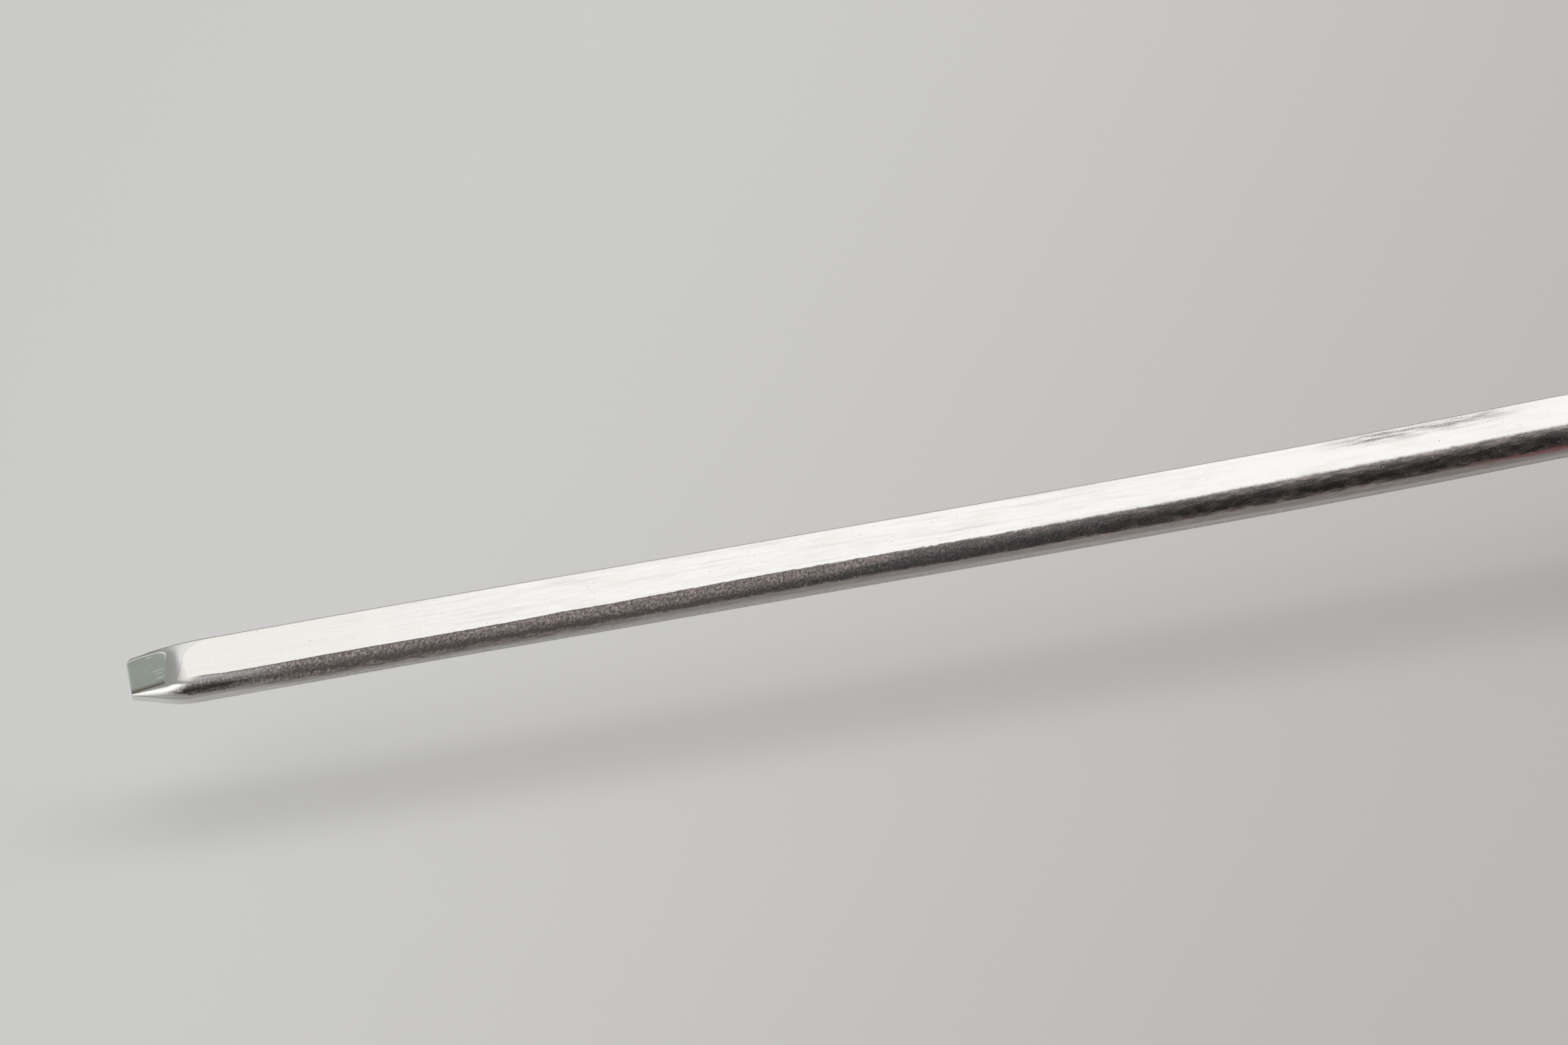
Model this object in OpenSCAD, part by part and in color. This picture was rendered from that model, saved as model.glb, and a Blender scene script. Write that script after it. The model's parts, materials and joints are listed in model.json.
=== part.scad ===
// Carving V-chisel: a slim V-section blade with a ground nose, bedded in a hardwood
// handle with long flats, behind a brass ferrule. All sizes in millimetres.
// Drawn along X with the groove upwards, the tip at the low end of X and the front face
// of the ferrule at X = 0, then laid on its side on one flat of the handle.

/* [Blade] */
// Angle between the two wings of the V
v_angle = 60; // [45:1:90]
// Width of the groove between the wing tips
v_width = 2; // [1.4:0.1:4]
// Thickness of the wings
wall = 0.72; // [0.5:0.02:1.2]
// Height of the rough rounded keel above the ground sides
keel_proud = 0.01; // [0.005:0.005:0.05]
// Length of blade in front of the ferrule
blade_reach = 80; // [70:1:120]
// Length of the groove at its full depth
groove_length = 46; // [20:1:50]
// Radius of the sweep that brings the groove up to the surface
runout_radius = 15; // [8:1:24]
// Depth the sweep reaches below the bottom of the groove
runout_bite = 0.02; // [0.01:0.01:0.1]
// Depth of the flat back of the shank below the wing tips
back_drop = 0.02; // [0.01:0.01:0.1]

/* [Cutting bevel] */
// Angle of the bevel ground on the outside of the V
bevel_angle = 19; // [14:1:25]
// Radius of the polished shoulder between the bevel and the blade side
shoulder_radius = 7.4; // [3:0.2:9]
// Change of slope at the edge between the bevel and its shoulder
bevel_crease = 6; // [2:0.5:8]
// Change of slope at the faint edge between the shoulder and the blade side
side_crease = 2.5; // [1:0.5:4]

/* [Tang] */
// Length of full blade section held inside the handle
seat_length = 7; // [4:0.5:12]
// Length of the tang, drawn out from the blade section to a square end
tang_length = 40; // [25:1:50]
// Side of the square end of the tang
tang_end = 1.2; // [0.8:0.1:1.4]
// Room round the blade section where the tang's taper starts
taper_room = 0.1; // [0.05:0.05:0.3]

/* [Ferrule] */
// Outside diameter of the ferrule
ferrule_diameter = 11; // [9.5:0.5:14]
// Length of the ferrule
ferrule_length = 13; // [10:0.5:18]
// Thickness of the brass
ferrule_wall = 0.7; // [0.5:0.1:1]
// Radius of the rounded front edge
ferrule_rounding = 1.2; // [0.6:0.1:1.6]
// Distance of the rolled groove from the rear edge
crimp_setback = 3.5; // [2:0.5:5]
// Radius of the rolled groove
crimp_radius = 0.6; // [0.4:0.1:0.8]
// Depth of the rolled groove
crimp_depth = 0.25; // [0.1:0.05:0.35]

/* [Handle] */
// Length of wood behind the ferrule
grip_length = 112; // [90:1:140]
// Number of flats round the grip
handle_sides = 8; // [6:2:12]
// Distance across flats at the front of the grip
flats_front = 16; // [14.5:0.5:18]
// Distance across flats at the butt
flats_rear = 20; // [18:0.5:22]
// Height of the wood above the ferrule where the two meet
neck_step = 0.4; // [0.1:0.1:0.8]
// Radius of the turned cove behind the ferrule
cove_radius = 60; // [30:5:90]
// Radius of the domed butt
dome_radius = 14; // [13:0.5:24]

/* [Bedding] */
// Gap for adhesive round the blade section in its hole
glue_gap = 0.16; // [0.1:0.02:0.4]
// Depth of the hole past the end of the tang
hole_overrun = 2; // [1:0.5:5]
// Depth of the adhesive behind the front face of the ferrule
glue_recess = 0.3; // [0.1:0.1:0.6]

/* [Hidden] */
$fn = 96;
// Material left on a blank outside the finished surface
blank_margin = 1;
// Extra slope that keeps the keel proud of the sides along the bevel
keel_flare = 0.5;
// Angle by which the keel reaches in behind each side
keel_lap = 30;
half_angle = v_angle / 2;
wing = v_width / 2 / sin(half_angle);
groove_depth = wing * cos(half_angle);
// Height of the middle of the blade section above the bottom of the groove
section_middle = (groove_depth - wall) / 2;
section_half_height = (groove_depth + wall) / 2;
section_half_width = wing * sin(half_angle) + wall * cos(half_angle);
// Middle of the section to the outer corner of a wing
corner_reach = norm([section_half_width, section_half_height - wall * sin(half_angle)]);
// Half the width of the shank's back, which runs a little way into each wing
back_half_width = (groove_depth - back_drop) * tan(half_angle) + back_drop / cos(half_angle);

tang_tip = seat_length + tang_length;
bar_length = blade_reach + tang_tip + blank_margin;
bore_radius = corner_reach + glue_gap;
hole_end = tang_tip + hole_overrun;

ferrule_radius = ferrule_diameter / 2;
tenon_radius = ferrule_radius - ferrule_wall;
crimp_x = ferrule_length - crimp_setback;
crimp_height = ferrule_radius + crimp_radius - crimp_depth;

butt = ferrule_length + grip_length;
taper = atan((flats_rear - flats_front) / 2 / grip_length);
// Half the distance across flats, carried forward to X = 0
flats_origin = flats_front / 2 - ferrule_length * tan(taper);
// Radius that clears the corners between the flats at the butt
blank_radius = flats_rear / 2 / cos(180 / handle_sides) + blank_margin;
neck_radius = ferrule_radius + neck_step;

// The tool laid on its side: keel towards -Y, lowest handle flat level at Z = 0
module on_bench() {
    translate([-(butt - blade_reach) / 2 * cos(taper), 0, flats_origin * cos(taper)])
        rotate([0, -taper, 0])
            rotate([-90, 0, 0])
                children();
}

// Turns a profile drawn along X, radius upwards, about the X axis
module turned(sweep = 360) {
    rotate([0, 90, 0])
        rotate([0, 0, -sweep / 2])
            rotate_extrude(angle = sweep)
                mirror([1, -1])
                    children();
}

// Thickness of steel along the blade, with the bevel and its shoulder at the tip
module wall_profile(thickness, slope) {
    shoulder_slope = slope - bevel_crease;
    bevel_rise = thickness - shoulder_radius * (cos(side_crease) - cos(shoulder_slope));
    bevel_run = bevel_rise / tan(slope);
    shoulder_x = bevel_run + shoulder_radius * sin(shoulder_slope);
    // A place on the bevel that the shoulder's circle passes over
    over_bevel = bevel_run - shoulder_radius * sin(bevel_crease) * cos(slope);
    difference() {
        intersection() {
            square([bar_length, thickness]);
            polygon([
                [0, 0],
                [bar_length, 0],
                [bar_length, bar_length * tan(slope)]
            ]);
        }
        difference() {
            translate([over_bevel, 0])
                square([shoulder_x - over_bevel, 2 * thickness]);
            translate([shoulder_x, thickness - shoulder_radius * cos(side_crease)])
                circle(shoulder_radius);
        }
    }
}

// One wing of the V, from the bottom of the groove up
module wing_bar() {
    rotate([-half_angle, 0, 0])
        linear_extrude(wing)
            wall_profile(wall, bevel_angle);
}

// The rounded keel, lapped in behind both wings
module keel_bar() {
    turned(180 - v_angle + 2 * keel_lap)
        wall_profile(wall + keel_proud, bevel_angle + keel_flare);
}

// Solid filling between the wings, swept up from the end of the groove
module web() {
    difference() {
        translate([groove_length, 0, 0])
            rotate([90, 0, 90])
                linear_extrude(bar_length - groove_length)
                    polygon([
                        [0, -back_drop / sin(half_angle)],
                        [back_half_width, groove_depth - back_drop],
                        [-back_half_width, groove_depth - back_drop]
                    ]);
        translate([groove_length, 0, runout_radius - runout_bite])
            rotate([90, 0, 0])
                cylinder(r = runout_radius, h = 2 * v_width, center = true);
    }
}

// Slab round the blade that narrows across Y to the end of the tang
module tang_taper(half_size) {
    linear_extrude(4 * corner_reach, center = true)
        polygon([
            [-blade_reach - blank_margin, -half_size],
            [seat_length, -half_size],
            [tang_tip, -tang_end / 2],
            [tang_tip, tang_end / 2],
            [seat_length, half_size],
            [-blade_reach - blank_margin, half_size]
        ]);
}

module steel() {
    intersection() {
        translate([-blade_reach, 0, -section_middle]) {
            wing_bar();
            mirror([0, 1, 0])
                wing_bar();
            keel_bar();
            web();
        }
        tang_taper(section_half_width + taper_room);
        rotate([90, 0, 0])
            tang_taper(section_half_height + taper_room);
    }
}

module blade() {
    color("silver")
        on_bench()
            steel();
}

// Ferrule outline with its front edge rounded, before it is hollowed
module ferrule_outline() {
    square([ferrule_length, ferrule_radius - ferrule_rounding]);
    translate([ferrule_rounding, 0])
        square([ferrule_length - ferrule_rounding, ferrule_radius]);
    translate([ferrule_rounding, ferrule_radius - ferrule_rounding])
        circle(ferrule_rounding);
}

// Inside of the rolled groove, one wall thickness below the groove itself
module crimp_bead() {
    translate([crimp_x, crimp_height])
        circle(crimp_radius + ferrule_wall);
}

module ferrule() {
    color("goldenrod")
        on_bench()
            turned()
                difference() {
                    union() {
                        difference() {
                            ferrule_outline();
                            translate([ferrule_wall, 0])
                                square([ferrule_length, tenon_radius]);
                            square([ferrule_length, bore_radius]);
                        }
                        intersection() {
                            crimp_bead();
                            square([ferrule_length, ferrule_radius]);
                        }
                    }
                    translate([crimp_x, crimp_height])
                        circle(crimp_radius);
                }
}

// The turned shape of the wood: tenon, cove behind the ferrule and domed butt
module wood_profile() {
    difference() {
        translate([ferrule_wall, 0])
            square([ferrule_length - ferrule_wall, tenon_radius]);
        crimp_bead();
    }
    difference() {
        intersection() {
            translate([ferrule_length, 0])
                square([grip_length, blank_radius]);
            union() {
                square([butt - dome_radius, blank_radius]);
                translate([butt - dome_radius, 0])
                    circle(dome_radius);
            }
        }
        translate([ferrule_length, neck_radius + cove_radius])
            circle(cove_radius);
    }
}

// A pair of opposite handle flats
module flat_pair() {
    rotate([90, 0, 0])
        linear_extrude(2 * blank_radius, center = true)
            polygon([
                [0, -flats_origin],
                [butt, -flats_rear / 2],
                [butt, flats_rear / 2],
                [0, flats_origin]
            ]);
}

module handle() {
    color("sienna")
        on_bench()
            difference() {
                intersection() {
                    turned()
                        wood_profile();
                    intersection_for (side = [0 : handle_sides / 2 - 1])
                        rotate([90 + side * 360 / handle_sides, 0, 0])
                            flat_pair();
                }
                rotate([0, 90, 0])
                    cylinder(r = bore_radius, h = hole_end);
            }
}

module tang_adhesive() {
    color("darkslategray")
        on_bench()
            difference() {
                translate([glue_recess, 0, 0])
                    rotate([0, 90, 0])
                        cylinder(r = bore_radius, h = hole_end - glue_recess);
                steel();
            }
}

blade();
ferrule();
handle();
tang_adhesive();
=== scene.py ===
import bmesh
import bpy
import json
import math
from mathutils import Matrix, Vector, noise


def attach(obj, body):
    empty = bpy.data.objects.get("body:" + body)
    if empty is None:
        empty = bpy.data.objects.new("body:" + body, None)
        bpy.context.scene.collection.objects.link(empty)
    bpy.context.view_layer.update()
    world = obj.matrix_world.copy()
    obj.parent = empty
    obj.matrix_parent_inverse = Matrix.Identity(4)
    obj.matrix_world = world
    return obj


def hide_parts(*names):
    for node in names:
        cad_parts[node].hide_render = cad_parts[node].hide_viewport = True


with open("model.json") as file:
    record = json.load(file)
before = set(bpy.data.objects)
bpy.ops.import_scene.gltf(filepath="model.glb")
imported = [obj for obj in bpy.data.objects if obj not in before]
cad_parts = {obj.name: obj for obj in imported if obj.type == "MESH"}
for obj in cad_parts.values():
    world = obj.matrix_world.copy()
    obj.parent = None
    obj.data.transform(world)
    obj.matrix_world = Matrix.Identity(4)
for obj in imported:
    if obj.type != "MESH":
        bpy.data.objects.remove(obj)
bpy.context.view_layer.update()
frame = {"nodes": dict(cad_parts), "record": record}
print("frame loaded:", ", ".join(sorted(frame["nodes"])))

# the tool's own frame in millimetres: x from the ferrule's face to the butt, y to the groove, z to one wing
bench = dict(mm=0.001, mountSetback=5.1)  # the mount sits this far behind the ferrule's face
ferruleMount = [m for m in frame["record"]["mounts"] if m["name"] == "ferrule_outside"][0]
toButt = -Vector(ferruleMount["axis"]).normalized()
toGroove = Vector((0, 1, 0))
toWing = toButt.cross(toGroove)
ferruleFace = Vector(ferruleMount["pos_m"]) - toButt * bench["mountSetback"] * bench["mm"]
layDown = Matrix((toButt, toGroove, toWing)).transposed()


def onBench(x, y, z):
    return ferruleFace + layDown @ (Vector((x, y, z)) * bench["mm"])


def smoothStep(low, high, value):
    share = min(1, max(0, (value - low) / (high - low)))
    return share * share * (3 - 2 * share)


def curveThrough(points, at):
    if at <= points[0][0]:
        return points[0][1]
    if at >= points[-1][0]:
        return points[-1][1]
    i = max(k for k in range(len(points) - 1) if points[k][0] <= at)

    def slopeAt(k):
        before = points[max(k - 1, 0)]
        after = points[min(k + 1, len(points) - 1)]
        return (after[1] - before[1]) / (after[0] - before[0])

    (x0, y0), (x1, y1) = points[i], points[i + 1]
    run = x1 - x0
    t = (at - x0) / run
    bend = t * t * (3 - 2 * t)
    lead = run * t * (1 - t) * ((1 - t) * slopeAt(i) - t * slopeAt(i + 1))
    return y0 + (y1 - y0) * bend + lead


def smoothMin(first, second, reach):
    near = max(reach - abs(first - second), 0) / reach
    return min(first, second) - near * near * reach / 4


closing = dict(weld=2e-7, sliver=1e-7, sharpFrom=28)  # metres, metres and degrees


def finishMesh(name, mesh, material, node):
    body = bmesh.new()
    body.from_mesh(mesh)
    bmesh.ops.remove_doubles(body, verts=body.verts, dist=closing["weld"])
    bmesh.ops.dissolve_degenerate(body, edges=body.edges, dist=closing["sliver"])
    bmesh.ops.recalc_face_normals(body, faces=body.faces)
    body.to_mesh(mesh)
    body.free()
    mesh.shade_smooth()
    mesh.set_sharp_from_angle(angle=math.radians(closing["sharpFrom"]))
    piece = bpy.data.objects.new(name, mesh)
    bpy.context.scene.collection.objects.link(piece)
    mesh.materials.clear()
    mesh.materials.append(material)
    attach(piece, "root")
    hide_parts(node)
    print(name, "has", len(mesh.polygons), "faces")


# node helpers: an input takes another node's socket or a plain value, and addNode hands back the outputs
def feed(tree, node, inputs):
    for key, source in inputs.items():
        socket = node.inputs[key]
        if isinstance(source, bpy.types.NodeSocket):
            tree.links.new(source, socket)
        else:
            socket.default_value = (*source, 1) if socket.type == "RGBA" else source


def addNode(tree, kind, inputs=None, **settings):
    node = tree.nodes.new(kind)
    for key, value in settings.items():
        setattr(node, key, value)
    feed(tree, node, inputs or {})
    return node.outputs


def calc(tree, operation, *sources):
    return addNode(tree, "ShaderNodeMath", dict(enumerate(sources)), operation=operation)[0]


def rescale(tree, source, fromLow, fromHigh, toLow=0, toHigh=1, kind="SMOOTHSTEP"):
    sources = dict(enumerate((source, fromLow, fromHigh, toLow, toHigh)))
    return addNode(tree, "ShaderNodeMapRange", sources, interpolation_type=kind)["Result"]


def combine(tree, *parts):
    return addNode(tree, "ShaderNodeCombineXYZ", dict(enumerate(parts)))[0]


def split(tree, vector):
    return addNode(tree, "ShaderNodeSeparateXYZ", {0: vector})


def speckle(tree, vector, scale, detail, rough):
    sources = dict(Vector=vector, Scale=scale, Detail=detail, Roughness=rough)
    return addNode(tree, "ShaderNodeTexNoise", sources)["Fac"]


def tint(tree, share, first, second):
    sources = {"Factor": share, 6: first, 7: second}  # the colour sockets go by number
    return addNode(tree, "ShaderNodeMix", sources, data_type="RGBA")[2]


def blendValue(tree, share, first, second):
    return addNode(tree, "ShaderNodeMix", {"Factor": share, 2: first, 3: second}, data_type="FLOAT")[0]


def readMark(tree, name):
    return addNode(tree, "ShaderNodeAttribute", attribute_name=name)["Fac"]


def objectSpot(tree):
    return addNode(tree, "ShaderNodeTexCoord")["Object"]


def mapped(tree, vector, kind="POINT", **values):
    return addNode(tree, "ShaderNodeMapping", dict(Vector=vector, **values), vector_type=kind)[0]


def toolSpot(tree):  # the place in the tool's own frame, in millimetres
    small = (bench["mm"],) * 3
    turn = layDown.to_euler()
    return mapped(tree, objectSpot(tree), "TEXTURE", Location=ferruleFace, Rotation=turn, Scale=small)


def bump(tree, height, depth, under=None):
    sources = dict(Strength=1, Distance=depth, Height=height)
    if under is not None:
        sources["Normal"] = under
    return addNode(tree, "ShaderNodeBump", sources)[0]


def newFinish(name, metal):
    material = bpy.data.materials.new(name)
    material.use_nodes = True
    tree = material.node_tree
    shader = tree.nodes["Principled BSDF"]
    shader.inputs["Metallic"].default_value = metal
    return material, tree, shader


# short forms for one finish: ramps and noises go by their names in its look
def shortForms(tree, look):
    def ramp(source, name):
        return rescale(tree, source, *look["ramp"][name])

    def cloudy(vector, name):
        return speckle(tree, vector, *look["noise"][name])

    def times(*shares):
        result = shares[0]
        for share in shares[1:]:
            result = calc(tree, "MULTIPLY", result, share)
        return result

    def plus(first, second):
        return calc(tree, "ADD", first, second)

    def minus(first, second):
        return calc(tree, "SUBTRACT", first, second)

    def paint(share, under, over):
        return tint(tree, share, under, over)

    return ramp, cloudy, times, plus, minus, paint


# the blade: V bar with a honed bevel, polished nose, ground sides and an as-forged keel
blade = dict(
    reach=80.0, seat=7.0, tang=40.0, tangEnd=1.2, tangRoom=0.1,
    halfAngle=30.0, wing=2.0, wall=0.72,
    bevel=17.4, bevelLift=2.2, liftFrom=1.3, edgeLand=0.012, edgeSwell=0.055, tipRound=0.2,
    lowWall=0.745, lowLand=0.1, lowSlope=0.285, lowRound=0.2,  # the wing that lies underneath
    # how far along the bar, for places up the side
    bevelEnd=[(0, 1.67), (0.7, 1.79), (1.3, 1.84), (1.5, 1.74), (1.7, 1.52), (2.0, 1.2)],
    sideStart=[(0, 2.75), (0.8, 2.62), (1.275, 2.74), (1.55, 3.02), (1.785, 3.51), (2.0, 3.9)],
    polishEnd=[
        (-0.05, 2.22), (0.25, 2.38), (0.8, 2.58), (1.275, 2.74), (1.55, 3.02), (1.785, 3.51), (2.0, 4.1),
    ],
    polishLag=4.0, edgePolish=4.0, honeEnd=1.64, honeEndSlope=0.165, honeCorner=0.3,
    # how far up the side, for places along the bar
    honeTop=[(0, 1.83), (0.3, 1.86), (0.6, 1.85), (1.0, 1.805), (2.0, 1.66)],
    edgeRound=0.13, edgeShare=0.45, cornerSteps=5, keelSteps=28, floorSteps=4,
    wingStops=[0, 0.06, 0.14, 0.24, 0.36, 0.52, 0.7, 0.9, 1.1, 1.28, 1.44, 1.58, 1.7, 1.8, 1.88],
    grooveLength=46.0, runout=15.0, runoutBite=0.02, backDrop=0.02,
    noseEnd=9.0, bevelRings=28, shoulderRings=30, noseRings=60, barStep=0.12, seatStep=1.0, tangStep=2.0,
    # the keel's radius as a share of the wall, along the bar
    keelShare=[
        (0, 0.87), (1.7, 0.86), (2.7, 0.81), (6.5, 0.79), (10.5, 0.81), (13, 0.85), (18, 0.88), (20.5, 0.935),
        (24, 0.945), (29, 1.01), (41, 1.035), (48, 1.1), (55, 1.115), (59, 1.148), (80, 1.148),
    ],
    skinFade=0.14, skinStart=2.6, skinFull=5.0,
    lump=0.011, lumpLength=1.3, lumpWidth=0.5, lumpSeed=3,
    grain=0.009, grainLength=0.42, grainWidth=0.24, grainSeed=7,
    bow=[
        (0, 0), (14, -0.025), (24, -0.1), (33, -0.15), (43, -0.205),
        (56, -0.2), (63, -0.11), (69, 0), (80, 0),
    ],
)
bladeMarks = ("along", "girth", "keel", "honed", "polished", "inside")
grooveMarks = (-1, -1, 1, 1)  # in the groove: off the keel, not honed, not polished, inside
wingStops = blade["wingStops"]
wingTurn = math.radians(blade["halfAngle"])
wingCos, wingSin = math.cos(wingTurn), math.sin(wingTurn)
grooveDepth = blade["wing"] * wingCos
barMiddle = (grooveDepth - blade["wall"]) / 2
keelTurn = math.pi / 2 - wingTurn  # half the keel's arc
keelHalf = blade["wall"] * keelTurn  # and its length round the wall


def tipStart(up):
    share = min(1, max(0, up / blade["wing"]))
    swell = 4 * blade["edgeSwell"] * share * (1 - share)
    past = up - (blade["wing"] - blade["tipRound"])
    if past <= 0:
        return -swell
    return blade["tipRound"] - math.sqrt(max(blade["tipRound"] ** 2 - past ** 2, 0)) - swell


def steelAt(along, up, side):
    lift = blade["bevelLift"] * smoothStep(blade["liftFrom"], blade["wing"], up)
    bevelSlope = math.tan(math.radians(blade["bevel"] + lift))
    bevelEnd = curveThrough(blade["bevelEnd"], up)
    sideStart = curveThrough(blade["sideStart"], up)
    if along <= bevelEnd:
        upper = blade["edgeLand"] + max(along, 0) * (bevelSlope - blade["edgeLand"] / bevelEnd)
    elif along >= sideStart:
        upper = blade["wall"]
    else:
        run = sideStart - bevelEnd
        rise = blade["wall"] - bevelEnd * bevelSlope
        first = min(bevelSlope, 2 * rise / run)
        last = 2 * rise / run - first
        past = along - bevelEnd
        upper = bevelEnd * bevelSlope + first * past + (last - first) * past * past / (2 * run)
    lower = smoothMin(blade["lowLand"] + along * blade["lowSlope"], blade["lowWall"], blade["lowRound"])
    return lower + (upper - lower) * (side + 1) / 2


def alongAt(station, up):
    zone, share = station
    if zone == "bar":
        return share
    tip = tipStart(up)
    bevelEnd = curveThrough(blade["bevelEnd"], up)
    sideStart = curveThrough(blade["sideStart"], up)
    if zone == "bevel":
        return tip + (bevelEnd - tip) * share
    if zone == "shoulder":
        return bevelEnd + (sideStart - bevelEnd) * share
    return sideStart + (blade["noseEnd"] - sideStart) * share


def honedMark(along, up, foot):
    toEnd = blade["honeEnd"] + blade["honeEndSlope"] * up - along
    toTop = curveThrough(blade["honeTop"], along) - up
    return min(smoothMin(toEnd, toTop, blade["honeCorner"]), up - foot)


# where the flat side runs out into the rounded keel, which is sharper at the tip
def wingFoot(along, steel):
    return (curveThrough(blade["keelShare"], along) - 1) * steel / math.tan(wingTurn)


def skinHeight(along, girth, depth):
    share = smoothStep(0, blade["skinFade"], depth) * smoothStep(blade["skinStart"], blade["skinFull"], along)
    if share == 0:
        return 0
    lumpSpot = (along / blade["lumpLength"], girth / blade["lumpWidth"], blade["lumpSeed"])
    grainSpot = (along / blade["grainLength"], girth / blade["grainWidth"], blade["grainSeed"])
    lump = noise.noise(Vector(lumpSpot))
    grain = noise.noise(Vector(grainSpot))
    return share * (blade["lump"] * lump + blade["grain"] * grain)


def grooveFloor(along):
    past = along - blade["grooveLength"]
    top = grooveDepth - blade["backDrop"]
    if past <= 0:
        return 0
    if past >= blade["runout"]:
        return top
    sweep = blade["runout"] - math.sqrt(blade["runout"] ** 2 - past ** 2)
    return min(top, max(sweep - blade["runoutBite"], 0))


def wingPoint(up, out, side):
    return (-barMiddle + up * wingCos - out * wingSin, side * (up * wingSin + out * wingCos))


def bladeRing(station):
    ring = []  # each point is along, y and z, then its marks
    start = alongAt(station, 0)
    foot = {side: wingFoot(start, steelAt(start, 0, side)) for side in (1, -1)}

    def addOuter(stop, side):
        up = foot[side] + (wingStops[-1] - foot[side]) * stop / wingStops[-1]
        along = alongAt(station, up)
        y, z = wingPoint(up, steelAt(along, up, side), side)
        honed = honedMark(along, up, foot[side])
        polished = along - curveThrough(blade["polishEnd"], up)
        ring.append((along, y, z, side * (keelHalf + up), foot[side] - up, honed, polished, 0))

    def addEdge(side, outwards):
        along = alongAt(station, blade["wing"])
        steel = steelAt(along, blade["wing"], side)
        curl = min(blade["edgeRound"], steel * blade["edgeShare"])
        turns = [math.pi / 2 * i / blade["cornerSteps"] for i in range(blade["cornerSteps"] + 1)]
        outer = [(math.sin(a), steel - curl + curl * math.cos(a)) for a in turns]
        inner = [(math.cos(a), curl - curl * math.sin(a)) for a in turns]
        stops = outer + inner
        for reach, out in stops if outwards else reversed(stops):
            up = blade["wing"] - curl + curl * reach
            y, z = wingPoint(up, out, side)
            honed = honedMark(along, up, foot[side])
            polished = along - blade["edgePolish"]
            inside = 1 if out < steel / 2 else 0
            ring.append((along, y, z, side * (keelHalf + up), foot[side] - up, honed, polished, inside))

    def addInner(up, side):
        along = alongAt(station, up)
        low = grooveFloor(along) / wingCos
        y, z = wingPoint(low + (blade["wing"] - low) * up / blade["wing"], 0, side)
        ring.append((along, y, z, side * (keelHalf + up), *grooveMarks))

    for stop in wingStops:
        addOuter(stop, 1)
    addEdge(1, True)
    for up in reversed(wingStops):
        addInner(up, 1)
    floor = grooveFloor(start)
    for i in range(1, blade["floorSteps"]):
        across = floor * math.tan(wingTurn) * (1 - 2 * i / blade["floorSteps"])
        ring.append((start, -barMiddle + floor, across, across, *grooveMarks))
    for up in wingStops:
        addInner(up, -1)
    addEdge(-1, False)
    for stop in reversed(wingStops):
        addOuter(stop, -1)
    for i in range(1, blade["keelSteps"]):
        lean = 2 * i / blade["keelSteps"] - 1
        steel = steelAt(start, 0, lean)
        bend = curveThrough(blade["keelShare"], start) * steel
        reach = keelHalf + wingFoot(start, steel)
        depth = reach * (1 - abs(lean))
        radius = bend + skinHeight(start, reach * lean, depth)
        turn = keelTurn * lean
        y = -barMiddle + 2 * (bend - steel) - radius * math.cos(turn)
        z = radius * math.sin(turn)
        polished = start - curveThrough(blade["polishEnd"], 0) - blade["polishLag"] * depth
        ring.append((start, y, z, reach * lean, depth, -depth, polished, 0))
    return ring


def tangSqueeze(along, y, z):
    start = blade["reach"] + blade["seat"]
    share = max(0, (along - start) / blade["tang"])
    halfHeight = (grooveDepth + blade["wall"]) / 2 + blade["tangRoom"]
    halfWidth = blade["wing"] * wingSin + blade["wall"] * wingCos + blade["tangRoom"]
    height = halfHeight + (blade["tangEnd"] / 2 - halfHeight) * share
    width = halfWidth + (blade["tangEnd"] / 2 - halfWidth) * share
    return max(-height, min(height, y)), max(-width, min(width, z))


def steps(low, high, step):
    count = max(1, round((high - low) / step))
    return [low + (high - low) * (i + 1) / count for i in range(count)]


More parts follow.
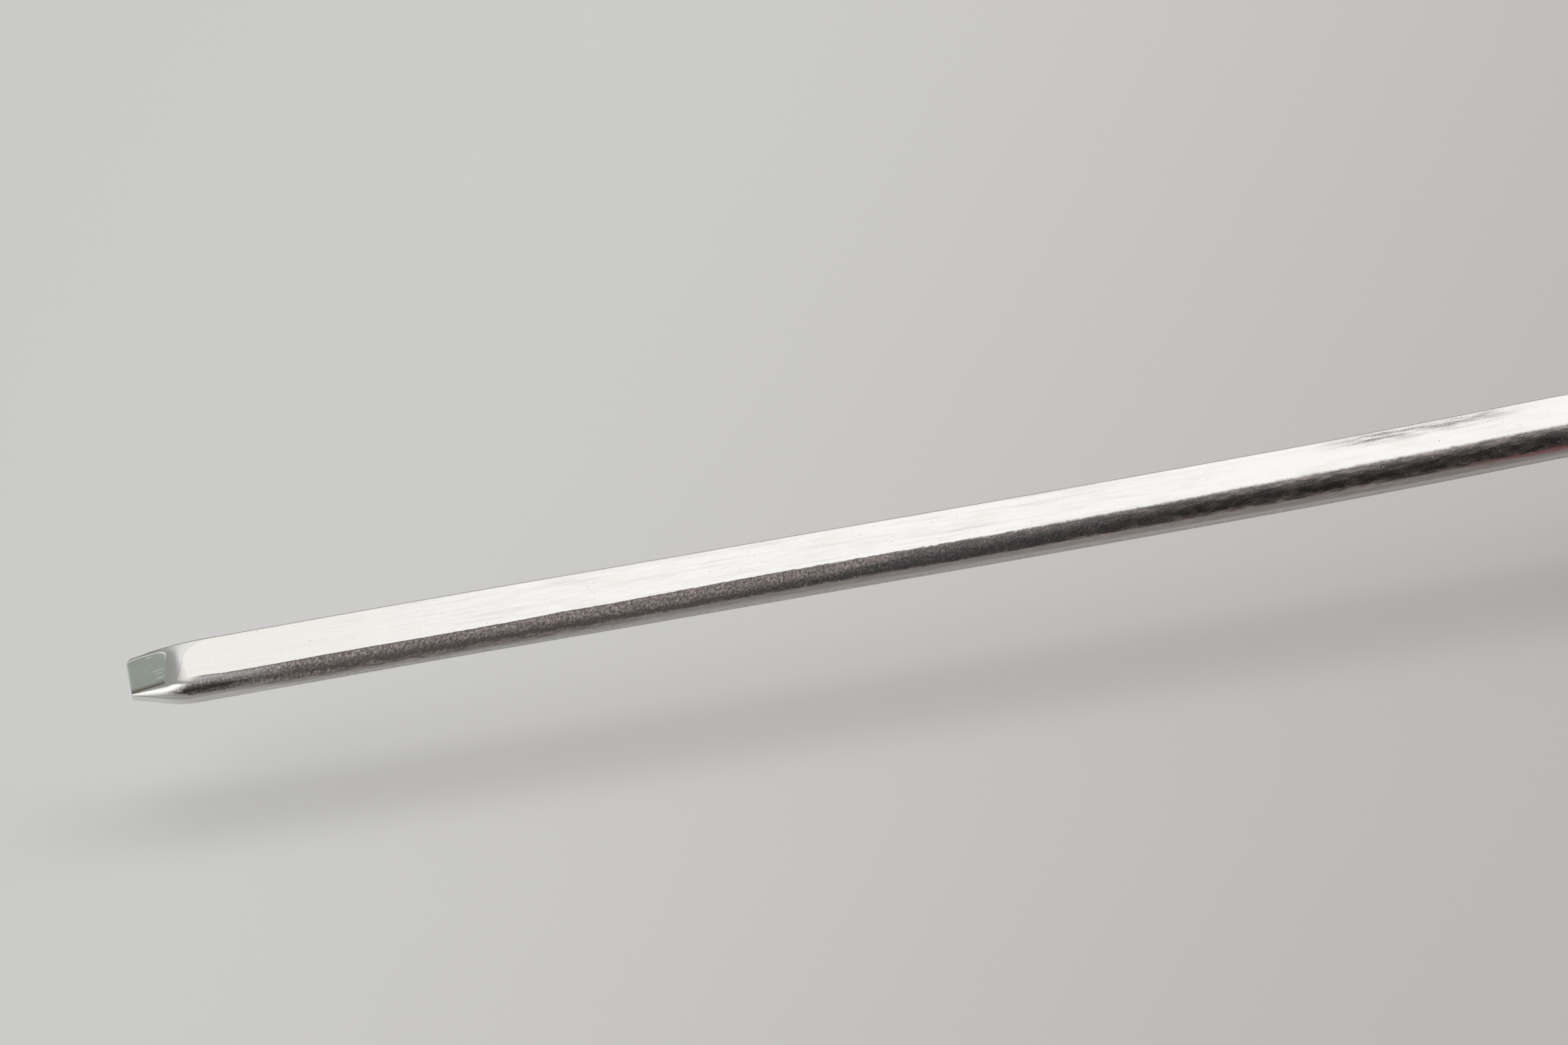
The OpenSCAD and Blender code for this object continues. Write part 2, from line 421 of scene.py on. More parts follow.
def makeBlade(material):
    stations = [("bevel", i / blade["bevelRings"]) for i in range(blade["bevelRings"] + 1)]
    stations += [("shoulder", (i + 1) / blade["shoulderRings"]) for i in range(blade["shoulderRings"])]
    stations += [("nose", (i + 1) / blade["noseRings"]) for i in range(blade["noseRings"])]
    tangStart = blade["reach"] + blade["seat"]
    for stops in (
        steps(blade["noseEnd"], blade["reach"], blade["barStep"]),
        steps(blade["reach"], tangStart, blade["seatStep"]),
        steps(tangStart, tangStart + blade["tang"], blade["tangStep"]),
    ):
        stations += [("bar", stop) for stop in stops]
    verts, faces, marks = [], [], []
    for station in stations:
        for along, y, z, *mark in bladeRing(station):
            y, z = tangSqueeze(along, y, z)
            lift = curveThrough(blade["bow"], along)
            verts.append(onBench(along - blade["reach"], y, z + lift))
            marks.append((along, *mark))
    size = len(verts) // len(stations)
    for k in range(len(stations) - 1):
        for i in range(size):
            j = (i + 1) % size
            faces.append((k * size + i, k * size + j, k * size + size + j, k * size + size + i))
    # the tip's end face, in strips from each side to the groove behind it, then the tang's end
    flat = len(wingStops)
    edge = 2 * (blade["cornerSteps"] + 1)
    wing = flat + edge + flat
    lowStart = wing + blade["floorSteps"] - 1
    for i in range(flat - 1):
        behind = wing - 1 - i
        faces.append((i, i + 1, behind - 1, behind))
        low = lowStart + i
        top = lowStart + behind
        faces.append((low, low + 1, top - 1, top))
    faces.append(tuple(range(flat - 1, flat + edge + 1)))
    faces.append(tuple(range(lowStart + flat - 1, lowStart + flat + edge + 1)))
    faces.append((0, *range(wing - 1, lowStart + 1), *range(lowStart + wing - 1, size)))
    faces.append(tuple(range(len(verts) - size, len(verts))))
    mesh = bpy.data.meshes.new("blade_steel")
    mesh.from_pydata(verts, [], faces)
    for i, name in enumerate(bladeMarks):
        mark = mesh.attributes.new(name, "FLOAT", "POINT")
        mark.data.foreach_set("value", [m[i] for m in marks])
    finishMesh("blade_steel", mesh, material, "blade")


# the steel's look: a way is how far a pattern is stretched along and round the bar, then its layer,
# a noise is scale, detail and roughness, and a ramp is where it starts and ends, then its values there
steelLook = dict(
    colour=dict(
        ground=(0.82, 0.81, 0.80), groundDull=(0.63, 0.61, 0.585), groundWarm=(0.765, 0.742, 0.70),
        shankPatch=(0.2, 0.175, 0.175), under=(0.35, 0.325, 0.305), underShadeDeep=(0.18, 0.163, 0.152),
        polish=(0.65, 0.648, 0.63), border=(0.48, 0.45, 0.38),
        noseLowShade=(0.5, 0.495, 0.485), noseLowShadeRear=(0.34, 0.335, 0.325),
        hone=(0.54, 0.60, 0.53), honeLight=(0.61, 0.66, 0.59), honeLow=(0.76, 0.76, 0.75),
        honeFoot=(0.16, 0.09, 0.055), dustAndHighlight=(0.95, 0.96, 0.93),
        skin=(0.475, 0.39, 0.36), skinPit=(0.12, 0.105, 0.1), sheenAndGrit=(0.5, 0.465, 0.45),
        noseSkin=(0.4, 0.395, 0.39), shankShade=(0.19, 0.188, 0.187), glint=(0.66, 0.645, 0.635),
        ridgeScaleAndShade=(0.112, 0.094, 0.087), ridgeShank=(0.06, 0.06, 0.062), warmReflection=(0.31, 0.14, 0.14),
    ),
    metal=dict(bare=1, scale=0.45, glint=0.35, dustAndHighlight=0.15),
    rough=dict(polish=0.18, shank=0.27, glint=0.55, hone=0.4),
    bump=dict(brush=3e-6, grain=1.1e-4, ripple=3.6e-5, hone=2e-6),
    share=dict(
        noiseMiddle=0.5, wide=0.08, slantLeast=-0.1, slant=2.7, pepper=0.12, pits=0.7, shankPatch=0.9,
        wander=0.5, glint=0.8, warmReflection=0.8,
    ),
    hairs=dict(length=(0.55, 0.65), width=(0.85, 0.95), layer=5),  # a way that slants round the bar
    way=dict(
        brush=(0.13, 9), clouds=(0.35, 0.9, 8), bands=(0.12, 3.2, 2), streak=(0.5, 5, 4),
        underGrain=(1.1, 0.22, 12), ripple=(0.3, 1, 9), wrinkle=(0.5, 1.9, 11), wander=(0.45, 1, 3),
        strokes=(0.5, 6, 1), scratchGlint=(1, 13, 6),
    ),
    noise=dict(
        ragged=(2.6, 4, 0.62), pepper=(25, 1, 0.5), brush=(2, 6, 0.68), clouds=(1.3, 3, 0.55),
        bands=(1.7, 5, 0.66), mottle=(4.5, 4, 0.7), pits=(8, 2, 0.5), streak=(1.4, 2, 0.5),
        underGrain=(4, 3, 0.62), grain=(6.6, 4, 0.64), ripple=(4.2, 4, 0.6), wrinkle=(3.6, 4, 0.62),
        patches=(1.7, 2, 0.5), wander=(2.4, 4, 0.65), grit=(13, 3, 0.6), glintSpecks=(11, 3, 0.62),
        flecks=(11, 1, 0.4), strokes=(2.4, 4, 0.6), scratchGlint=(1.25, 1, 0.4),
    ),
    ramp=dict(
        outside=(0.2, 0.4, 1, 0), nearSide=(0, 0.1),
        # the edge of the keel's skin
        jagGrow=(10, 45, 0.05, 0.24), farKeel=(-0.3, 0, 0.8, 0), wideFrom=(9, 15),
        wideTo=(48.5, 54, 1, 0), noseTuck=(3.3, 4.8, 0.07, 0), skinEdge=(18, 60, 0.014, 0.11),
        slantLow=(-0.42, -0.12, 3.2, 0), skinFrom=(1.1, 2.2),
        # ground sides, with painted shade on the lower wing
        warmNose=(5, 24, 0.9, 0), warmCloud=(0.45, 0.7, 0, 0.7), workedFrom=(4, 16, 0.2, 1),
        workedTo=(40, 54, 1, 0.45), lined=(0.51, 0.68, 0, 0.8), bands=(0.48, 0.72, 0, 0.7),
        mottle=(0.55, 0.72, 0, 0.45), pits=(0.245, 0.285, 1, 0), smudgeFrom=(56.5, 60),
        smudgeTo=(63.5, 68, 1, 0), smudgeLow=(1.05, 1.55), smudgeHigh=(1.76, 1.95, 1, 0),
        smudgeStreak=(0.72, 1.12, 0.05, 1), underWing=(-0.9, -0.6, 1, 0), underFrom=(4.5, 9),
        underGrain=(0.38, 0.62),
        # the keel's skin, with painted shade high up, a painted sheen low down and a painted shadow under the
        # flat
        smooth=(26, 58), wrinkled=(-0.36, -0.16, 1, 0), lumps=(0.38, 0.66), patches=(0.42, 0.58, 0.3, 0),
        noseSkin=(3, 8.5, 0.75, 0), shadeHigh=(0.1, 0.4), shadeFrom=(31, 46, 0, 0.6),
        shadeRipple=(0.42, 0.62, 1, 0.35), lowSideSheen=(-0.32, -0.2, 0.7, 0), lowFrom=(16, 28),
        lowNoseSheen=(-0.22, -0.06, 0.6, 0), lowNoseTo=(4.8, 8, 1, 0), edgeShadow=(0.02, 0.1, 0.5, 0),
        edgeShadowFade=(18, 27, 1, 0.35), edgeShadowFrom=(2.4, 3.2), edgeShadowSide=(0, 0.2),
        # dark scale along the ridge, with painted shade
        topMiddle=(28, 33, 0.12, 0.2), topShank=(34, 42, 0, 1.1), footDrop=(5, 15, 0.03, 0.19),
        ridgeFoot=(-0.05, 0.05), ridgeFade=(41, 54, 0.88, 0.43), ridgeHigh=(0.2, 0.45, 1, 0.6),
        ridgeTop=(-0.12, 0.12, 1, 0), ridgeGrain=(0.5, 0.66, 1, 0.7), ridgeTone=(26, 33),
        # painted glints and sheen, and a painted warm reflection
        grit=(0.5, 0.68, 0, 0.4), gritFrom=(38, 50), gritSide=(-0.15, 0.05), glintSpecks=(0.5, 0.66),
        specksNose=(5, 8, 0.75, 1), noseSheen=(5, 8, 0.24, 0), veilHigh=(0.36, 0.52, 1, 0),
        glintRise=(3.2, 6.8, 0.15, 0), glintFoot=(-0.06, 0.12), glintHigh=(0.36, 0.62, 1, 0.3),
        glintFrom=(2.2, 3.2, 0.3, 1), glintThin=(4.5, 11, 1, 0.6), glintFade=(30, 46, 1, 0.15),
        stainFrom=(62.5, 66.5), stainLow=(-0.46, -0.3), stainHigh=(-0.2, -0.06, 1, 0), flecks=(0.755, 0.785),
        # honed bevel, with painted highlights on its rim and scratches
        strokes=(0.36, 0.68), honeFoot=(-0.34, 0.02, 0, 0.85), honeSide=(-0.2, 0.2), honeEdge=(-0.006, 0.006),
        rimHighlight=(0.012, 0.034, 1, 0), rimHigh=(1.15, 1.6), scratchGlint=(0.7, 0.73), scratchFrom=(0.7, 1.1),
        # polished nose, with painted shade on its lower side
        polishEdge=(-0.02, 0.02, 1, 0), border=(0.01, 0.035, 1, 0), borderCloud=(0.3, 0.6, 0.25, 0.7),
        noseLowShade=(-0.4, -0.2, 1, 0), noseLowTo=(5, 9, 0.8, 0), noseLowTone=(1.3, 2.8),
        lip=(1.86, 1.94), lipFrom=(1.9, 2.6), lipTo=(4, 6.5, 0.7, 0),
        # metal, roughness and bumps
        scaly=(5, 10), brushRough=(0.3, 0.7, 0.31, 0.21), skinRough=(3.5, 8, 0.17, 0.29),
        rugged=(4, 9, 0.2, 1),
    ),
)


def bladeFinish():
    look = steelLook
    hue, share, metals, roughs, bumps = (look[k] for k in ("colour", "share", "metal", "rough", "bump"))
    material, tree, shader = newFinish("bladeSteel", metals["bare"])
    ramp, cloudy, times, plus, minus, paint = shortForms(tree, look)
    along, girth, keel, honed, polished, inside = (readMark(tree, name) for name in bladeMarks)
    around = minus(calc(tree, "ABSOLUTE", girth), keelHalf)
    surface = combine(tree, along, girth, inside)
    outside = ramp(inside, "outside")
    nearSide = ramp(girth, "nearSide")

    def stretched(name, ownLayer=None):
        length, width, *layer = look["way"][name]
        return combine(tree, times(along, length), times(girth, width), layer[0] if layer else ownLayer)

    # where the grinding ends on the keel
    ragged = cloudy(surface, "ragged")
    jag = times(minus(ragged, share["noiseMiddle"]), ramp(along, "jagGrow"))
    depth = plus(plus(keel, jag), ramp(girth, "farKeel"))
    wide = times(ramp(along, "wideFrom"), ramp(along, "wideTo"))
    depth = minus(depth, times(wide, share["wide"]))
    depth = plus(depth, ramp(along, "noseTuck"))
    soft = ramp(along, "skinEdge")
    skin = rescale(tree, depth, times(soft, -1), soft)
    pepper = cloudy(surface, "pepper")
    slant = times(calc(tree, "MAXIMUM", girth, share["slantLeast"]), share["slant"])
    slant = plus(slant, ramp(girth, "slantLow"))
    noseEnd = plus(minus(along, slant), times(pepper, share["pepper"]))
    skin = times(skin, ramp(noseEnd, "skinFrom"), outside)

    # ground sides with brush lines, small pits, a dark patch towards the shank, painted shade on the lower
    # wing
    brush = cloudy(stretched("brush", inside), "brush")
    clouds = cloudy(stretched("clouds"), "clouds")
    warm = calc(tree, "MAXIMUM", ramp(along, "warmNose"), ramp(clouds, "warmCloud"))
    ground = paint(warm, hue["ground"], hue["groundWarm"])
    worked = times(ramp(along, "workedFrom"), ramp(along, "workedTo"))
    bands = cloudy(stretched("bands"), "bands")
    mottle = cloudy(surface, "mottle")
    for pattern, name in ((brush, "lined"), (bands, "bands"), (mottle, "mottle")):
        ground = paint(times(ramp(pattern, name), worked), ground, hue["groundDull"])
    pits = ramp(cloudy(surface, "pits"), "pits")
    ground = paint(times(pits, share["pits"]), ground, hue["skinPit"])
    # a darker, streaky patch high on the ground side towards the shank
    streak = times(cloudy(stretched("streak"), "streak"), share["shankPatch"])
    streak = plus(streak, times(pepper, share["shankPatch"]))
    shankPatch = times(ramp(along, "smudgeFrom"), ramp(along, "smudgeTo"), ramp(around, "smudgeLow"),
                   ramp(around, "smudgeHigh"), ramp(streak, "smudgeStreak"))
    ground = paint(shankPatch, ground, hue["shankPatch"])
    # painted shade: the lower wing's ground side is painted darker than the upper one
    under = times(ramp(girth, "underWing"), ramp(along, "underFrom"), outside)
    underGrain = cloudy(stretched("underGrain"), "underGrain")
    underShadeTone = paint(ramp(underGrain, "underGrain"), hue["underShadeDeep"], hue["under"])
    ground = paint(under, ground, underShadeTone)

    # as-forged keel: rough, speckled towards the tip, smoother and darker towards the shank, partly painted
    # shade
    smooth = ramp(along, "smooth")
    slope = look["hairs"]
    hairLength = plus(times(along, slope["length"][0]), times(girth, slope["length"][1]))
    hairWidth = minus(times(girth, slope["width"][0]), times(along, slope["width"][1]))
    hairs = combine(tree, hairLength, hairWidth, slope["layer"])
    grain = cloudy(hairs, "grain")
    ripple = cloudy(stretched("ripple"), "ripple")
    wrinkle = cloudy(stretched("wrinkle"), "wrinkle")
    lumps = blendValue(tree, smooth, grain, ripple)
    lumps = blendValue(tree, ramp(girth, "wrinkled"), lumps, wrinkle)
    forged = paint(ramp(lumps, "lumps"), hue["skinPit"], hue["skin"])
    forged = paint(ramp(cloudy(hairs, "patches"), "patches"), forged, hue["skinPit"])
    forged = paint(ramp(along, "noseSkin"), forged, hue["noseSkin"])
    # painted shade: the keel's upper side is painted darker towards the shank
    shade = times(ramp(girth, "shadeHigh"), ramp(along, "shadeFrom"))
    forged = paint(times(shade, ramp(ripple, "shadeRipple")), forged, hue["shankShade"])
    # painted reflection: the keel's lower side is painted lighter, as if showing the pale floor
    low = times(ramp(girth, "lowSideSheen"), ramp(along, "lowFrom"))
    lowNoseSheen = times(ramp(girth, "lowNoseSheen"), ramp(along, "lowNoseTo"))
    forged = paint(calc(tree, "MAXIMUM", low, lowNoseSheen), forged, hue["sheenAndGrit"])
    # painted shadow: a dark line just under the edge of the ground flat
    edgeShadow = times(ramp(depth, "edgeShadow"), ramp(along, "edgeShadowFade"), ramp(along, "edgeShadowFrom"),
                  ramp(girth, "edgeShadowSide"))
    forged = paint(edgeShadow, forged, hue["ridgeScaleAndShade"])

    # dark scale left along the ridge, with a wandering edge, made darker by painted shade
    wander = minus(cloudy(stretched("wander"), "wander"), share["noiseMiddle"])
    scale = plus(girth, times(wander, share["wander"]))
    scaleTop = plus(ramp(along, "topMiddle"), ramp(along, "topShank"))
    scaleFoot = plus(scale, ramp(along, "footDrop"))
    ridgeScaleAndShade = times(ramp(scaleFoot, "ridgeFoot"), ramp(along, "ridgeFade"), ramp(girth, "ridgeHigh"),
                  ramp(minus(scale, scaleTop), "ridgeTop"), ramp(grain, "ridgeGrain"))
    forged = paint(ridgeScaleAndShade, forged, paint(ramp(along, "ridgeTone"), hue["ridgeScaleAndShade"], hue["ridgeShank"]))
    grit = times(ramp(cloudy(surface, "grit"), "grit"), ramp(along, "gritFrom"), ramp(girth, "gritSide"))
    forged = paint(grit, forged, hue["sheenAndGrit"])

    # painted glints as bright specks, over a painted sheen at the nose, and a painted warm reflection on the
    # shank
    glintSpecks = ramp(cloudy(hairs, "glintSpecks"), "glintSpecks")
    noseSheen = times(ramp(along, "noseSheen"), ramp(girth, "veilHigh"))
    glintSpecks = plus(times(glintSpecks, ramp(along, "specksNose")), noseSheen)
    glintFoot = minus(girth, ramp(along, "glintRise"))
    glint = times(glintSpecks, ramp(glintFoot, "glintFoot"), ramp(girth, "glintHigh"), ramp(along, "glintFrom"),
                 ramp(along, "glintThin"), ramp(along, "glintFade"))
    forged = paint(times(glint, share["glint"]), forged, hue["glint"])
    # painted reflection: a reddish patch low on the shank, standing for the warm wooden handle
    warmReflection = times(ramp(along, "stainFrom"), ramp(scale, "stainLow"), ramp(scale, "stainHigh"))
    forged = paint(times(warmReflection, share["warmReflection"]), forged, hue["warmReflection"])
    flecks = times(ramp(cloudy(surface, "flecks"), "flecks"), skin, smooth)

    # honed bevel with a few deeper strokes, painted highlights on its rim and scratches, and a brown foot
    strokes = cloudy(stretched("strokes"), "strokes")
    honeColour = paint(ramp(strokes, "strokes"), hue["hone"], hue["honeLight"])
    honeColour = paint(ramp(keel, "honeFoot"), honeColour, hue["honeFoot"])
    honeColour = paint(ramp(girth, "honeSide"), hue["honeLow"], honeColour)
    honeShare = ramp(honed, "honeEdge")
    # painted highlight: a white line along the honed bevel's edges, on the near side only
    rimHighlight = times(ramp(calc(tree, "ABSOLUTE", honed), "rimHighlight"), ramp(around, "rimHigh"), nearSide)
    # scratches along the bevel, painted white as highlights
    scratchGlint = ramp(cloudy(stretched("scratchGlint"), "scratchGlint"), "scratchGlint")
    scratchGlint = times(scratchGlint, ramp(along, "scratchFrom"), honeShare)
    dustAndHighlight = calc(tree, "MAXIMUM", calc(tree, "MAXIMUM", rimHighlight, scratchGlint), flecks)

    # polished nose, then the layers one over another
    noseShare = ramp(polished, "polishEdge")
    colour = paint(noseShare, ground, hue["polish"])
    border = ramp(calc(tree, "ABSOLUTE", polished), "border")
    colour = paint(times(border, ramp(clouds, "borderCloud")), colour, hue["border"])
    # painted shade: the nose's lower side is painted darker, more so further from the tip
    noseLowShade = times(ramp(girth, "noseLowShade"), outside, ramp(along, "noseLowTo"))
    noseLowTone = paint(ramp(along, "noseLowTone"), hue["noseLowShade"], hue["noseLowShadeRear"])
    colour = paint(noseLowShade, colour, noseLowTone)
    lip = times(ramp(around, "lip"), ramp(along, "lipFrom"), ramp(along, "lipTo"), nearSide)
    colour = paint(lip, colour, hue["border"])
    colour = paint(skin, colour, forged)
    colour = paint(honeShare, colour, honeColour)
    # white over all: painted highlights on the rim and scratches, and the dust flecks
    colour = paint(dustAndHighlight, colour, hue["dustAndHighlight"])

    forgedOnly = minus(1, smooth)
    metal = blendValue(tree, times(skin, forgedOnly, ramp(along, "scaly")), metals["bare"], metals["scale"])
    metal = blendValue(tree, times(glint, skin), metal, metals["glint"])
    metal = blendValue(tree, dustAndHighlight, metal, metals["dustAndHighlight"])

    rough = blendValue(tree, noseShare, ramp(brush, "brushRough"), roughs["polish"])
    skinRough = blendValue(tree, smooth, ramp(along, "skinRough"), roughs["shank"])
    skinRough = blendValue(tree, glint, skinRough, roughs["glint"])
    rough = blendValue(tree, skin, rough, skinRough)
    rough = blendValue(tree, honeShare, rough, roughs["hone"])

    normal = bump(tree, times(brush, minus(1, skin)), bumps["brush"])
    rugged = times(forgedOnly, skin, ramp(along, "rugged"))
    normal = bump(tree, times(grain, rugged), bumps["grain"], normal)
    normal = bump(tree, times(ripple, smooth, skin), bumps["ripple"], normal)
    normal = bump(tree, times(strokes, honeShare), bumps["hone"], normal)
    feed(tree, shader, {"Base Color": colour, "Metallic": metal, "Roughness": rough, "Normal": normal})
    return material


makeBlade(bladeFinish())
print("blade done")

turning = dict(
    weld=1e-4,  # millimetres
    halfStep=0.5,  # keeps the count of rows clear of rounding
    inputs=dict(
        Int=("Around", "Flats"),
        Float=("Front Flat", "Rear Flat", "Flat Start", "Flat End", "Corner Round", "Edge Round"),
        Vector=("Place", "Lean"),
        Material=("Finish",),
    ),
)


# a tree that turns a profile about the tool's axis and then planes flats on it
def turningTree():
    tree = bpy.data.node_groups.new("turnAndPlane", "GeometryNodeTree")
    face = tree.interface
    face.new_socket("Profile", in_out="INPUT", socket_type="NodeSocketGeometry")
    for kind, names in turning["inputs"].items():
        for name in names:
            face.new_socket(name, in_out="INPUT", socket_type="NodeSocket" + kind)
    face.new_socket("Piece", in_out="OUTPUT", socket_type="NodeSocketGeometry")
    given = addNode(tree, "NodeGroupInput")
    result = tree.nodes.new("NodeGroupOutput")

    # a grid with one row for each point of the profile and one column for each step round
    count = addNode(tree, "GeometryNodeAttributeDomainSize", {"Geometry": given["Profile"]}, component="MESH")
    seam = calc(tree, "ADD", given["Around"], 1)
    grid = addNode(tree, "GeometryNodeMeshGrid", {"Vertices X": count["Point Count"], "Vertices Y": seam})
    index = addNode(tree, "GeometryNodeInputIndex")[0]
    step = calc(tree, "ADD", index, turning["halfStep"])
    step = calc(tree, "FLOOR", calc(tree, "DIVIDE", step, seam))
    turn = calc(tree, "SUBTRACT", index, calc(tree, "MULTIPLY", step, seam))
    turn = calc(tree, "MULTIPLY", calc(tree, "DIVIDE", turn, given["Around"]), math.tau)

    place = addNode(tree, "GeometryNodeInputPosition")[0]
    sources = {"Geometry": given["Profile"], "Value": place, "Index": step}
    sample = addNode(tree, "GeometryNodeSampleIndex", sources, data_type="FLOAT_VECTOR", domain="POINT")
    x, radius, _ = split(tree, sample[0])

    # the flats: the nearer one and the one beside it meet in a rounded corner
    ends = [given[name] for name in ("Flat Start", "Flat End", "Front Flat", "Rear Flat")]
    flat = rescale(tree, x, *ends, "LINEAR")
    sector = calc(tree, "DIVIDE", math.tau, given["Flats"])
    half = calc(tree, "DIVIDE", sector, 2)
    fold = calc(tree, "ABSOLUTE", calc(tree, "WRAP", turn, half, calc(tree, "MULTIPLY", half, -1)))
    near = calc(tree, "DIVIDE", flat, calc(tree, "COSINE", fold))
    beside = calc(tree, "DIVIDE", flat, calc(tree, "COSINE", calc(tree, "SUBTRACT", sector, fold)))
    planed = calc(tree, "SMOOTH_MIN", near, beside, given["Corner Round"])
    shaped = calc(tree, "SMOOTH_MIN", radius, planed, given["Edge Round"])
    cut = calc(tree, "GREATER_THAN", x, given["Flat Start"])
    reach = blendValue(tree, cut, radius, shaped)
    spot = combine(tree, x, calc(tree, "MULTIPLY", reach, calc(tree, "COSINE", turn)),
                   calc(tree, "MULTIPLY", reach, calc(tree, "SINE", turn)))
    shape = addNode(tree, "GeometryNodeSetPosition", {"Geometry": grid["Mesh"], "Position": spot})

    # how near a point is to a corner between two flats, for the wear there
    corner = calc(tree, "MULTIPLY", calc(tree, "DIVIDE", fold, half), cut)
    sources = {"Geometry": shape[0], "Name": "corner", "Value": corner}
    worn = addNode(tree, "GeometryNodeStoreNamedAttribute", sources, data_type="FLOAT", domain="POINT")
    weld = addNode(tree, "GeometryNodeMergeByDistance", {"Geometry": worn[0], "Distance": turning["weld"]})
    sources = {"Geometry": weld[0], "Translation": given["Place"], "Rotation": given["Lean"]}
    lay = addNode(tree, "GeometryNodeTransform", dict(sources, Scale=(bench["mm"],) * 3))
    whole = addNode(tree, "GeometryNodeRealizeInstances", {0: lay[0]})
    coat = addNode(tree, "GeometryNodeSetMaterial", {"Geometry": whole[0], "Material": given["Finish"]})
    feed(tree, result, {0: coat[0]})
    return tree


def turnPiece(name, profile, sizes, material, node):
    line = bpy.data.meshes.new(name + "_profile")
    line.from_pydata([(x, r, 0) for x, r in profile], [(i, i + 1) for i in range(len(profile) - 1)], [])
    blank = bpy.data.objects.new(name + "_blank", line)
    bpy.context.scene.collection.objects.link(blank)
    modifier = blank.modifiers.new("turn", "NODES")
    modifier.node_group = lathe
    values = dict(sizes)
    values["Place"] = tuple(ferruleFace)
    values["Lean"] = tuple(layDown.to_euler())
    values["Finish"] = material
    for item in lathe.interface.items_tree:
        if item.in_out == "INPUT" and item.name in values:
            modifier[item.identifier] = values[item.name]
    depsgraph = bpy.context.evaluated_depsgraph_get()
    mesh = bpy.data.meshes.new_from_object(blank.evaluated_get(depsgraph))
    mesh.name = name
    blank.modifiers.remove(modifier)
    bpy.data.objects.remove(blank)
    finishMesh(name, mesh, material, node)


def arc(centreX, centreR, radius, fromTurn, toTurn, count):
    points = []
    for i in range(count + 1):
        turn = math.radians(fromTurn + (toTurn - fromTurn) * i / count)
        points.append((centreX + radius * math.cos(turn), centreR + radius * math.sin(turn)))
    return points


lathe = turningTree()

# the handle: turned neck and butt, eight planed flats
handle = dict(
    front=13.0, butt=125.0, tenonStart=0.7, tenon=4.8, bore=2.0, boreEnd=49.0,
    neck=5.9, neckRound=0.25, neckTurn=100, cove=60.0, blank=12.0, dome=14.0,
    neckSteps=5, coveSteps=36, gripSteps=40, domeSteps=30,
    flats=8, frontFlat=8.0, rearFlat=10.0, around=192, cornerRound=0.35, edgeRound=0.25,
)


def handleProfile():
    h = handle
    points = [(h["boreEnd"], 0), (h["boreEnd"], h["bore"]), (h["tenonStart"], h["bore"])]
    points += [(h["tenonStart"], h["tenon"]), (h["front"], h["tenon"])]
    neckX = h["front"] + h["neckRound"]
    points += arc(neckX, h["neck"] - h["neckRound"], h["neckRound"], 180, h["neckTurn"], h["neckSteps"])
    lastTurn = math.degrees(math.asin((h["blank"] - h["neck"] - h["cove"]) / h["cove"]))
    cove = arc(h["front"], h["neck"] + h["cove"], h["cove"], -90, lastTurn, h["coveSteps"])
    points += [p for p in cove if p[0] > h["front"] + 2 * h["neckRound"]]
    domeX = h["butt"] - h["dome"]
    domeTurn = math.degrees(math.asin(h["blank"] / h["dome"]))
    dome = arc(domeX, 0, h["dome"], domeTurn, 0, h["domeSteps"])
    points += [(points[-1][0] + (dome[0][0] - points[-1][0]) * (i + 1) / h["gripSteps"], h["blank"])
               for i in range(h["gripSteps"] - 1)]
    return points + dome


woodLook = dict(
    colour=dict(
        pale=(0.36, 0.135, 0.055), dark=(0.115, 0.032, 0.013),
        pore=(0.035, 0.01, 0.005), worn=(0.46, 0.2, 0.09),
    ),
    heart=(0, 26, 17), lean=(0, 1.5, 2.5),  # millimetres to the tree's heart, outside the handle, and degrees
    ringWay=(0.07, 1, 1), fibreWay=(0.05, 1, 1), poreWay=(0.22, 2.3, 2.3),
    rings={"Scale": 0.115, "Distortion": 3.2, "Detail": 3, "Detail Scale": 0.8, "Detail Roughness": 0.55},
    noise=dict(strands=(2.4, 5, 0.62), clouds=(0.22, 3, 0.5), pores=(1.7, 2, 0.5)),
    ramp=dict(
        pores=(0.36, 0.43, 1, 0), strandLight=(0.3, 0.7, -0.18, 0.3), cloudLight=(0.3, 0.7, -0.2, 0.3),
        corner=(0.9, 1), wornCloud=(0.35, 0.65, 0.1, 0.6), strandRough=(0.3, 0.7, 0.06, -0.08),
    ),
    ringShare=0.62, poreShare=0.75, strandHeight=0.35, poreDepth=2.5e-5, rough=0.42, coat=0.18, coatRough=0.3,
)


